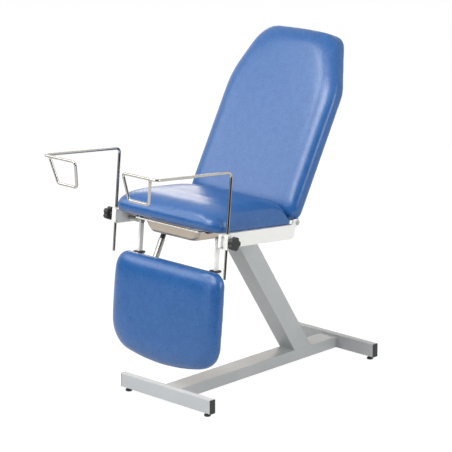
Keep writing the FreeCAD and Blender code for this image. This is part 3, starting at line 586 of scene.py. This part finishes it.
# %% Blow the pad up as cloth
SIM_STEPS = 20
SPREAD_STEPS = 16
PUFF_STEPS = 60
PRESSURE = 4.0
HELD_DEPTH = 0.014
FREE_DEPTH = 0.032


def eased(mesh, moves, steps):
    """Spreads each point's move over its neighbours, so that the corners keep no pinches."""
    ends = np.empty(len(mesh.edges) * 2, dtype=np.int64)
    mesh.edges.foreach_get("vertices", ends)
    ends = ends.reshape(-1, 2)
    count = np.bincount(ends.ravel(), minlength=len(moves))[:, None]
    for _ in range(steps):
        total = np.zeros_like(moves)
        np.add.at(total, ends[:, 0], moves[ends[:, 1]])
        np.add.at(total, ends[:, 1], moves[ends[:, 0]])
        moves = 0.5 * moves + 0.5 * total / count
    return moves


def blown(pad, depth, most):
    """Swells the pad as cloth, by no more than a limit, and tells how far it would have gone."""
    rest, out = points_of(pad.data), points_of(pad.data, "normal")
    grouped(pad, "held", np.clip((FREE_DEPTH - depth) / (FREE_DEPTH - HELD_DEPTH), 0, 1))
    cloth = pad.modifiers.new("cloth", "CLOTH")
    cloth.settings.quality = 4
    cloth.settings.mass = 0.3
    cloth.settings.use_pressure = True
    cloth.settings.uniform_pressure_force = PRESSURE
    cloth.settings.vertex_group_mass = "held"
    cloth.settings.effector_weights.gravity = 0
    for step in range(1, SIM_STEPS + 1):
        scene.frame_set(step)
    settled(pad)
    scene.frame_set(1)
    moved = eased(pad.data, points_of(pad.data) - rest, SPREAD_STEPS)
    swell = (moved * out).sum(axis=1, keepdims=True)
    puff = eased(pad.data, most * np.tanh(np.maximum(swell, 0) / most), PUFF_STEPS)
    pad.data.vertices.foreach_set("co", (rest + out * puff).ravel())
    pad.vertex_groups.clear()
    return float(swell.max())


print("cloth runs", SIM_STEPS, "steps")


# %% Flat backs
def flat_back(pad, matrix, axis, sign, zero):
    """Presses what bulged behind the board's back face up to that face, where the staples hold it."""
    points = points_of(pad.data)
    behind = np.minimum(depth_from(matrix, axis, sign, zero, points), 0)
    points -= behind[:, None] * np.array(matrix.to_3x3().col[axis]) * sign
    pad.data.vertices.foreach_set("co", points.ravel())
    return float(-behind.min())


print("a back stands", PLUMP * 1000, "mm behind its board before it is pressed flat")

# %% Three cushions
# solid, body, frame, the axis and sign of the pad's depth, where its back lies, how full it is
CUSHIONS = {
    "seat_cushion": ("seat_pad", "base", SEAT, 2, 1, 0.0, 0.95),
    "backrest_cushion": ("backrest_pad", "backrest", BACK, 1, -1, -0.0161, 0.9),
    "legrest_cushion": ("legrest_pad", "legrest", SEAT, 1, -1, 0.18445, 0.9),
}
SWELL = 0.003
for name, (node_name, body, matrix, axis, sign, zero, fill) in CUSHIONS.items():
    depth_of = partial(depth_from, matrix, axis, sign, zero)
    pad = even_skin(name, node_name, depth_of)
    reach = blown(pad, depth_of(points_of(pad.data)), SWELL)
    pressed = flat_back(pad, matrix, axis, sign, zero)
    pad.data.shade_smooth()
    fine = pad.modifiers.new("fine", "SUBSURF")
    fine.levels = fine.render_levels = 1
    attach(pad, body)
    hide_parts(node_name)
    print(name, len(pad.data.vertices), "points, swelled", round(reach * 1000, 1), "mm before the limit,",
          "pressed flat", round(pressed * 1000, 1), "mm")
    for label, mesh in (("solid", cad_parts[node_name].data), ("cushion", pad.data)):
        local = points_of(mesh) @ np.array(matrix.to_3x3())
        print(label, "is", np.round(np.ptp(local, axis=0) * 1000, 1), "mm")

# %% [markdown]
# ## Small made things
# Staples, weld beads, threads and washers are all either a wire along a path or a shape turned on
# a lathe. Two helpers give the points and faces of these, and one joins many into a single piece,
# so that a hundred staples cost one object.


# %% Wires
def swept(points, radii, sides=8):
    """Wire through the points, with its own radius at each."""
    verts, faces = [], []
    side = None
    for k, (point, radius) in enumerate(zip(points, radii)):
        ahead = (points[min(k + 1, len(points) - 1)] - points[max(k - 1, 0)]).normalized()
        side = side or ahead.orthogonal()
        side = (side - ahead * side.dot(ahead)).normalized()
        up = ahead.cross(side)
        for j in range(sides):
            turn = 2 * math.pi * j / sides
            verts.append(point + (side * math.cos(turn) + up * math.sin(turn)) * radius)
    for k in range(len(points) - 1):
        for j in range(sides):
            a, b = k * sides + j, k * sides + (j + 1) % sides
            faces.append((a, b, b + sides, a + sides))
    last = len(verts) - sides
    faces += [tuple(range(sides))[::-1], tuple(range(last, last + sides))]
    return verts, faces


trial_wire = swept([Vector((0, 0, 0)), Vector((0, 0, 0.01))], [0.001, 0.001])
print("a straight wire has", len(trial_wire[0]), "points and", len(trial_wire[1]), "faces")


# %% Turned shapes and pieces
def turned(profile, sides, matrix, shape=lambda turn, ring: 1.0):
    """Lathe a line of (radius, height) points round Z, then put it at a place."""
    verts, faces = [], []
    for ring, (radius, height) in enumerate(profile):
        for j in range(sides):
            turn = 2 * math.pi * j / sides
            r = radius * shape(turn, ring)
            verts.append(matrix @ Vector((r * math.cos(turn), r * math.sin(turn), height)))
    for ring in range(len(profile) - 1):
        for j in range(sides):
            a, b = ring * sides + j, ring * sides + (j + 1) % sides
            faces.append((a, b, b + sides, a + sides))
    return verts, faces


def piece(name, shapes, finish, body):
    verts, faces = [], []
    for shape_verts, shape_faces in shapes:
        faces += [tuple(v + len(verts) for v in face) for face in shape_faces]
        verts += shape_verts
    mesh = bpy.data.meshes.new(name)
    mesh.from_pydata(verts, [], faces)
    mesh.materials.append(FINISHES[finish])
    mesh.shade_smooth()
    made = bpy.data.objects.new(name, mesh)
    scene.collection.objects.link(made)
    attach(made, body)
    return made


trial_tube = turned([(0.01, 0.0), (0.01, 0.02)], 12, Matrix.Identity(4))
print("a tube of twelve sides has", len(trial_tube[0]), "points and", len(trial_tube[1]), "faces")

# %% [markdown]
# ## Staples behind the pads
# The vinyl is folded round each board and stapled about every three centimetres. A staple is one
# bent wire, its crown a little proud of the cover. The rows follow the pad's edge, with the corners
# rounded, and skip the places where the frame's tubes lie on the pad.


# %% A row of places along a rounded outline
CORNER_STEPS = 13


def rounded_row(corners, step):
    """Places and directions along a closed line whose corners (point, radius) are rounded."""
    path = []
    for k, (corner, radius) in enumerate(corners):
        before = (corners[k - 1][0] - corner).normalized()
        after = (corners[(k + 1) % len(corners)][0] - corner).normalized()
        half = before.angle(after) / 2
        cut = radius / math.tan(half)
        enter, leave = corner + before * cut, corner + after * cut
        for t in np.linspace(0, 1, CORNER_STEPS):
            path.append(enter * (1 - t) ** 2 + corner * 2 * t * (1 - t) + leave * t ** 2)
    path.append(path[0])
    row, left = [], 0.0
    for a, b in zip(path, path[1:]):
        run = (b - a).length
        while left < run:
            row.append((a + (b - a) * (left / run), (b - a).normalized()))
            left += step
        left -= run
    return row


square = [(Vector((x, y, 0)), 0.02) for x, y in ((0.1, 0.1), (-0.1, 0.1), (-0.1, -0.1), (0.1, -0.1))]
print("round a square of 200 mm stand", len(rounded_row(square, 0.030)), "staples")


# %% Staple rows on the three pads
def staple(matrix, spot, along, out):
    """Crown of 10 mm with two bent ends, its wire just clear of the cover."""
    half, bend, leg, shoulder, rise, wire = 0.005, 0.0006, 0.001, 0.0002, 0.0004, 0.0003
    line = [(-half, -leg), (-half, shoulder), (-half + bend, rise), (half - bend, rise),
            (half, shoulder), (half, -leg)]
    return swept([matrix @ (spot + along * a + out * h) for a, h in line], [wire] * len(line), 6)


def flat(axis, a, b, level):
    return Vector((a, b, level)) if axis == 2 else Vector((a, level, b))


EDGE = 0.0115
STAPLE_STEP = 0.030
# frame, body, axis and sign of the way out, level, corners with their radius, what tubes cover
STAPLE_ROWS = {
    "seat_staples": (SEAT, "base", 2, -1, 0.0, [
        ((0.293 - EDGE, 0.188 - EDGE), 0.03), ((-0.293 + EDGE, 0.188 - EDGE), 0.03),
        ((-0.293 + EDGE, -0.246 + EDGE), 0.05), ((0.293 - EDGE, -0.246 + EDGE), 0.05)],
        lambda a, b: 0.084 < b < 0.122 or b > 0.168),
    "backrest_staples": (BACK, "backrest", 1, 1, 0.0161, [
        ((0.2885, 0.0215), 0.03), ((0.2885, 0.570), 0.12), ((0.198, 0.792), 0.05),
        ((-0.198, 0.792), 0.05), ((-0.2885, 0.570), 0.12), ((-0.2885, 0.0215), 0.03)],
        lambda a, b: b < 0.034 and abs(a) > 0.245),
    "legrest_staples": (SEAT, "legrest", 1, 1, -0.18445, [
        ((0.2815, -0.1897), 0.04), ((0.2835, -0.535), 0.10), ((0.0, -0.592), 0.60),
        ((-0.2835, -0.535), 0.10), ((-0.2815, -0.1897), 0.04)],
        lambda a, b: b > -0.56 and 0.198 < abs(a) < 0.240),
}
for name, (matrix, body, axis, sign, level, corners, covered) in STAPLE_ROWS.items():
    row = rounded_row([(Vector((a, b, 0)), r) for (a, b), r in corners], STAPLE_STEP)
    out = flat(axis, 0, 0, sign)
    staples = [staple(matrix, flat(axis, p.x, p.y, level), flat(axis, d.x, d.y, 0), out)
               for p, d in row if not covered(p.x, p.y)]
    piece(name, staples, "strut_steel", body)
    print(name, len(staples))

# %% [markdown]
# ## Weld beads
# The base, the column and the frames behind the pads are welded, then painted. A hand-laid bead
# is a low rope with a ripple for each dip of the wire. A ring of changing radius along the seam
# gives that ripple as real geometry, which holds up in a close view.

# %% Beads
BEAD = 0.0024
THIN_BEAD = 0.0017
BEAD_SHARE = 0.14
RIPPLE = 0.0032
RIPPLE_POINTS = 4


def rippled(radius, count, share):
    """Radii along a seam that swell and sink by a share, with a few points for each ripple."""
    return [radius * (1 + share * math.sin(2 * math.pi * k / RIPPLE_POINTS)) for k in range(count)]


def bead(matrix, start, end, radius=BEAD):
    start, end = matrix @ Vector(start), matrix @ Vector(end)
    steps = max(2 * RIPPLE_POINTS, round((end - start).length / RIPPLE * RIPPLE_POINTS))
    spots = [start.lerp(end, k / steps) for k in range(steps + 1)]
    radii = rippled(radius, steps + 1, BEAD_SHARE)
    radii[0] = radii[-1] = radius * 0.5
    return swept(spots, radii, 10)


print("a bead of 80 mm has", len(bead(Matrix.Identity(4), (0, 0, 0), (0.08, 0, 0))[0]), "points")

# %% Beads on the base and the frames
FLAT = Matrix.Identity(4)
BASE_TOP = 0.065
COLUMN_SEAMS = (0.4061, 0.5139)
CROSSBAR_SEAMS = (-0.319, 0.681)
HEAD_UNDER = -0.060
BESIDE = (-0.045, 0.045)
BACK_TUBES = 0.0361
LEG_TUBES = -0.16445
base_beads = [bead(FLAT, (-0.041, y, BASE_TOP), (0.041, y, BASE_TOP)) for y in COLUMN_SEAMS]
for y in CROSSBAR_SEAMS:
    base_beads.append(bead(FLAT, (-0.042, y, BASE_TOP), (0.042, y, BASE_TOP)))
    base_beads += [bead(FLAT, (x, y, 0.018), (x, y, 0.062)) for x in BESIDE]
base_beads.append(bead(SEAT, (-0.041, 0.0956, HEAD_UNDER), (0.041, 0.0956, HEAD_UNDER)))
base_beads += [bead(SEAT, (x, 0.099, HEAD_UNDER), (x, 0.205, HEAD_UNDER)) for x in BESIDE]
piece("base_welds", base_beads, "grey_paint", "base")
frame_beads = [bead(BACK, (x, BACK_TUBES, z + 0.003), (x, BACK_TUBES, z + 0.027), THIN_BEAD)
               for x in (-0.234, 0.234) for z in (0.035, 0.480)]
piece("backrest_welds", frame_beads, "white_paint", "backrest")
leg_beads = [bead(SEAT, (x, LEG_TUBES, z + 0.003), (x, LEG_TUBES, z + 0.027), THIN_BEAD)
             for x in (-0.204, 0.204) for z in (-0.239, -0.520)]
piece("legrest_welds", leg_beads, "white_paint", "legrest")
print("beads", len(base_beads) + len(frame_beads) + len(leg_beads))

# %% The weld that closes each calf loop
RING_STEPS = 48
RING_RADIUS = 0.0062
RING_WIRE = 0.0013
RING_SHARE = 0.16
# the saddle line on which two rods meet: its middle and how far it swings
SADDLE = (0.0076, 0.0022)
for side, sign in (("left", 1), ("right", -1)):
    loop_end = Vector((sign * 0.2870, -0.639, 0.251))
    loop_low = Vector((sign * 0.2580, -0.609, 0.144))
    line = (loop_low - loop_end).normalized()
    across = line.orthogonal().normalized()
    other = line.cross(across)
    ring = []
    for k in range(RING_STEPS + 1):
        turn = 2 * math.pi * k / RING_STEPS
        spot = loop_end + (across * math.cos(turn) + other * math.sin(turn)) * RING_RADIUS
        spot += line * (SADDLE[0] - SADDLE[1] * math.cos(2 * turn))
        ring.append(SEAT @ spot)
    radii = rippled(RING_WIRE, RING_STEPS + 1, RING_SHARE)
    piece(side + "_loop_weld", [swept(ring, radii, 8)], "chrome", side + "_stirrup")
    print(side, "loop weld at", [round(c, 3) for c in ring[0]])

# %% [markdown]
# ## Screws, washers and threads
# Button-head screws with a hex socket hold the stirrup clamps and the boards. The socket is a real
# recess, made by turning a head whose inner ring is six-sided. Washers keep the strut pins in their
# lugs, and the feet show a few turns of thread between the disc and the crossbar.


# %% Button-head screws
def hex_inside(first_inner):
    def shape(turn, ring):
        if ring < first_inner:
            return 1.0
        part = turn % (math.pi / 3) - math.pi / 6
        return math.cos(math.pi / 6) / math.cos(part)
    return shape


def button_head(matrix, radius, height, shank=0.0):
    """Head standing on the plane Z = 0 of a matrix, with its socket from above."""
    socket = radius * 0.52
    profile = [(radius * 0.55, -shank), (radius * 0.55, 0.0), (radius, 0.0), (radius, height * 0.25),
               (radius * 0.93, height * 0.62), (radius * 0.78, height * 0.88), (radius * 0.62, height),
               (socket, height), (socket * 0.97, height * 0.9), (socket * 0.95, height * 0.3),
               (0.00001, height * 0.22)]
    return turned(profile, 24, matrix, hex_inside(profile.index((socket, height))))


def facing(matrix, spot, out):
    """Matrix at a spot whose Z looks out of the surface."""
    turn = Vector(out).to_track_quat("Z", "Y").to_matrix().to_4x4()
    return matrix @ Matrix.Translation(spot) @ turn


clamp_heads = [button_head(facing(SEAT, (side * 0.308, -0.235, h), (side, 0, 0)), 0.0045, 0.0025, 0.013)
               for side in (1, -1) for h in (-0.010, -0.050)]
screws = piece("stirrup_clamp_screws", clamp_heads, "chrome", "base")
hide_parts("clamp_screws")
back_heads = [button_head(facing(BACK, (x, BACK_TUBES, z), (0, 1, 0)), 0.0050, 0.0026)
              for x in (-0.247, 0.247) for z in (0.150, 0.300, 0.450)]
piece("backrest_board_screws", back_heads, "strut_steel", "backrest")
leg_heads = [button_head(facing(SEAT, (x, LEG_TUBES, z), (0, 1, 0)), 0.0050, 0.0026)
             for x in (-0.085, 0.085) for z in (-0.224, -0.505)]
piece("legrest_board_screws", leg_heads, "strut_steel", "legrest")
print("screws", len(clamp_heads) + len(back_heads) + len(leg_heads))

# %% Washers on the strut pins
PIN_WASHERS = {
    "back_spring_lower_pin": "base",
    "back_spring_upper_pin": "back_spring_rod",
    "leg_strut_lower_pin": "legrest",
    "leg_strut_upper_pin": "leg_strut_rod",
}
WASHER = [(0.0041, 0.0), (0.0089, 0.0), (0.0093, 0.0003), (0.0093, 0.0005), (0.0089, 0.0008),
          (0.0041, 0.0008), (0.0041, 0.0)]
WASHER_OUT = 0.0201
for pin, body in PIN_WASHERS.items():
    low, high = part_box(pin)
    centre = (low + high) / 2
    rings = []
    for side in (-1,) if pin == "back_spring_lower_pin" else (1, -1):
        spot = centre + Vector((side * WASHER_OUT, 0, 0))
        rings.append(turned(WASHER, 32, facing(FLAT, spot, (side, 0, 0))))
    piece(pin.replace("_pin", "_washers"), rings, "strut_steel", body)
    print(pin, [round(c, 4) for c in centre])

# %% Threads of the feet
PITCH = 0.0015
THREAD_TURNS = 4.5
TURN_STEPS = 24
THREAD_RADIUS = 0.0049
THREAD_WIRE = 0.00045
THREAD_LOW = 0.0081
for foot in ("front_left_foot", "front_right_foot", "rear_left_foot", "rear_right_foot"):
    low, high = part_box(foot)
    axis = (low + high) / 2
    coil = []
    for k in range(int(THREAD_TURNS * TURN_STEPS) + 1):
        angle = 2 * math.pi * k / TURN_STEPS
        coil.append(Vector((axis.x + THREAD_RADIUS * math.cos(angle),
                            axis.y + THREAD_RADIUS * math.sin(angle),
                            THREAD_LOW + PITCH * k / TURN_STEPS)))
    thread = swept(coil, [THREAD_WIRE] * len(coil), 6)
    piece(foot + "_thread", [thread], "strut_steel", foot)
print("threads", THREAD_TURNS, "turns each")
